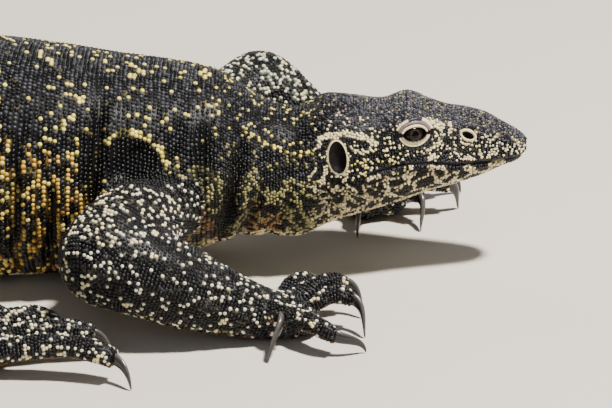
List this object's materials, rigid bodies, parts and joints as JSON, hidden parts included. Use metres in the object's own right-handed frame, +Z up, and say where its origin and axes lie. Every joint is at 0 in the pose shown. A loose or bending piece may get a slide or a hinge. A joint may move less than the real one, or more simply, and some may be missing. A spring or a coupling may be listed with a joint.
{
  "type": "nile monitor model",
  "caption": "Life-size still model of a Nile monitor lizard in mid step, head up, belly and tail on the floor, in black skin with cream and yellow spots.",
  "frame": {"origin": "centre of the base of the whole model's box, on the floor", "axes": "+X towards the snout, +Y towards the animal's left side, +Z up"},
  "size_m": [1.204, 0.4198, 0.1086],
  "materials": {
    "skin": "satin scales, near black with cream and yellow spots",
    "eye": "polished dark eye with a thin bronze ring",
    "claw": "dark horn"
  },
  "bodies": {
    "root": {"chest": "skin", "claw_foot_left_1": "claw", "claw_foot_left_2": "claw", "claw_foot_left_3": "claw", "claw_foot_left_4": "claw", "claw_foot_left_5": "claw", "claw_foot_right_1": "claw", "claw_foot_right_2": "claw", "claw_foot_right_3": "claw", "claw_foot_right_4": "claw", "claw_foot_right_5": "claw", "claw_hand_left_1": "claw", "claw_hand_left_2": "claw", "claw_hand_left_3": "claw", "claw_hand_left_4": "claw", "claw_hand_left_5": "claw", "claw_hand_right_1": "claw", "claw_hand_right_2": "claw", "claw_hand_right_3": "claw", "claw_hand_right_4": "claw", "claw_hand_right_5": "claw", "eye_left": "eye", "eye_right": "eye", "foot_left": "skin", "foot_right": "skin", "forearm_left": "skin", "forearm_right": "skin", "hand_left": "skin", "hand_right": "skin", "head": "skin", "hips": "skin", "jaw": "skin", "neck": "skin", "shin_left": "skin", "shin_right": "skin", "tail_1": "skin", "tail_2": "skin", "tail_3": "skin", "tail_4": "skin", "tail_5": "skin", "thigh_left": "skin", "thigh_right": "skin", "trunk": "skin", "upper_arm_left": "skin", "upper_arm_right": "skin"}
  },
  "joints": []
}
